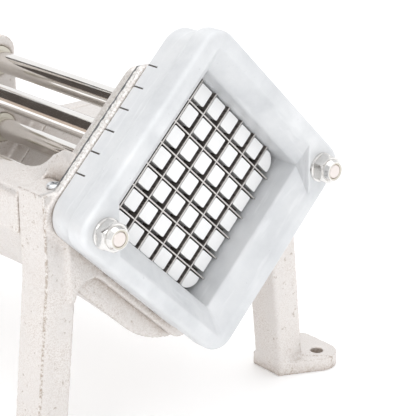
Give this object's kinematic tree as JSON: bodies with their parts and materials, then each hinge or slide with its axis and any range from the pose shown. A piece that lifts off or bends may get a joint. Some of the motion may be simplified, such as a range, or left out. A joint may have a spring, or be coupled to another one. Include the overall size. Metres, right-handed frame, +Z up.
{
  "type": "vegetable dicer",
  "caption": "Lever-driven press that pushes a vegetable through a diamond-set square blade grid held on a four-legged cast frame.",
  "frame": {"origin": "middle of the footprint, on the bench, at the bottom centre of the rest-pose bounding box", "axes": "+X to the right seen from the blades' side, +Y from the blades to the rear legs, +Z up"},
  "size_m": [0.236, 0.3975, 0.4284],
  "materials": {
    "cast_body": "nickel-plated sand casting, grainy",
    "holder_casting": "pale tumbled casting, matt",
    "blade_steel": "ground stainless strip, bright edge",
    "zinc_steel": "zinc plated",
    "bright_plate": "bright nickel plate",
    "bushing": "moulded acetal",
    "rod_chrome": "polished chrome plate",
    "pin_steel": "ground steel",
    "pusher_plastic": "moulded white nylon",
    "cast_ram": "nickel-plated casting",
    "cast_lever": "nickel-plated iron",
    "grip_rubber": "black moulded rubber"
  },
  "bodies": {
    "frame": {"front_frame": "cast_body", "trough": "cast_body", "rear_frame": "cast_body", "blade_holder": "holder_casting", "blade_a_1": "blade_steel", "blade_a_2": "blade_steel", "blade_a_3": "blade_steel", "blade_a_4": "blade_steel", "blade_a_5": "blade_steel", "blade_a_6": "blade_steel", "blade_b_1": "blade_steel", "blade_b_2": "blade_steel", "blade_b_3": "blade_steel", "blade_b_4": "blade_steel", "blade_b_5": "blade_steel", "blade_b_6": "blade_steel", "holder_stud_left": "pin_steel", "holder_stud_right": "pin_steel", "stud_set_screws": "zinc_steel", "trough_front_screws": "zinc_steel", "trough_rear_screws": "zinc_steel", "nut_washer_left": "bright_plate", "nut_washer_right": "bright_plate", "lock_nut_left": "bright_plate", "lock_nut_right": "bright_plate", "lock_ring_left": "bushing", "lock_ring_right": "bushing", "rod_bushing_1": "bushing", "rod_bushing_2": "bushing", "rod_bushing_3": "bushing", "rod_bushing_4": "bushing", "link_pivot_pin_left": "pin_steel", "link_pivot_pin_right": "pin_steel"},
    "ram": {"pusher_block": "pusher_plastic", "pusher_pegs": "pusher_plastic", "pusher_plate": "cast_ram", "pusher_screws": "zinc_steel", "ram_rod_1": "rod_chrome", "ram_rod_2": "rod_chrome", "ram_rod_3": "rod_chrome", "ram_rod_4": "rod_chrome", "crosshead_left": "cast_ram", "crosshead_right": "cast_ram", "rod_nuts": "zinc_steel", "lever_pin": "pin_steel"},
    "lever": {"lever_arm": "cast_lever", "lever_bushing": "bushing", "handle_shaft": "rod_chrome", "handle_lock_nut": "zinc_steel", "handle_grip": "grip_rubber", "handle_end_cap": "grip_rubber"},
    "swing_links": {"swing_link_left": "cast_lever", "swing_link_right": "cast_lever", "link_pin": "pin_steel", "link_pin_clips": "zinc_steel", "link_spacer_left": "pin_steel", "link_spacer_right": "pin_steel"}
  },
  "joints": [
    {"name": "ram_slide", "type": "slide", "parent": "frame", "child": "ram", "axis": [0, 1, 0], "range_m": [0, 0.15]},
    {"name": "lever_swing", "type": "hinge", "parent": "ram", "child": "lever", "pos_m": [0, 0.10175, 0.1395], "axis": [1, 0, 0], "range_deg": [-64, 0]},
    {"name": "link_swing", "type": "hinge", "parent": "frame", "child": "swing_links", "pos_m": [0, 0.17675, 0.1395], "axis": [1, 0, 0], "range_deg": [0, 64]}
  ],
  "couplings": [
    {"joint": "lever_swing", "follows": "ram_slide", "rad_per_m": -7.446},
    {"joint": "link_swing", "follows": "ram_slide", "rad_per_m": 7.446}
  ]
}
